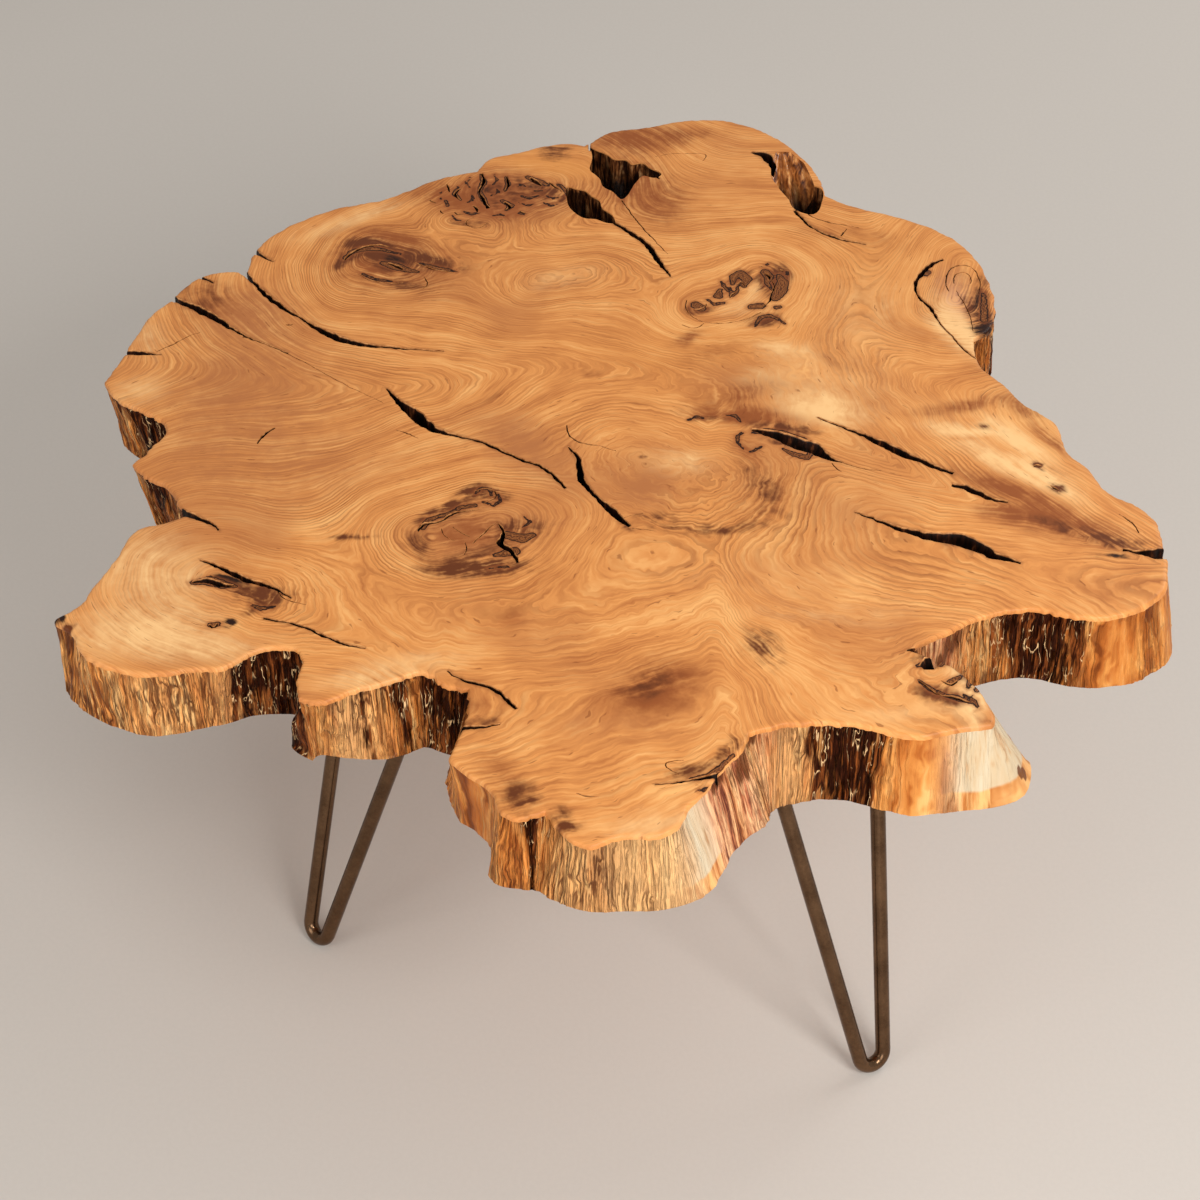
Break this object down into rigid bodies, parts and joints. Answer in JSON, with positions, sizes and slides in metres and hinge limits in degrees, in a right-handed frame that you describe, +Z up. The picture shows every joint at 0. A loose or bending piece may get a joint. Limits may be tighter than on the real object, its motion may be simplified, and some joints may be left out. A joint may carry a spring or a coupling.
{
  "type": "live-edge slab coffee table",
  "caption": "Low table: a thick live-edge burl slab with drying checks and natural voids, on splayed hairpin legs of bronzed steel rod.",
  "frame": {"origin": "on the floor, under the middle of the slab's bounding box", "axes": "+Z up, the side seen from the front faces -Y, +X to the right"},
  "size_m": [0.8163, 0.8347, 0.424],
  "materials": {
    "slab_wood": "satin clear varnish",
    "rod_steel": "antique bronze",
    "plate_steel": "dark bronze paint",
    "weld_steel": "dark bronze paint over the bead",
    "screw_steel": "zinc plated"
  },
  "bodies": {
    "root": {"slab": "slab_wood", "front_left_plate": "plate_steel", "front_left_rod": "rod_steel", "front_left_welds": "weld_steel", "front_left_screws": "screw_steel", "front_right_plate": "plate_steel", "front_right_rod": "rod_steel", "front_right_welds": "weld_steel", "front_right_screws": "screw_steel", "rear_right_plate": "plate_steel", "rear_right_rod": "rod_steel", "rear_right_welds": "weld_steel", "rear_right_screws": "screw_steel", "rear_left_plate": "plate_steel", "rear_left_rod": "rod_steel", "rear_left_welds": "weld_steel", "rear_left_screws": "screw_steel"}
  },
  "joints": []
}
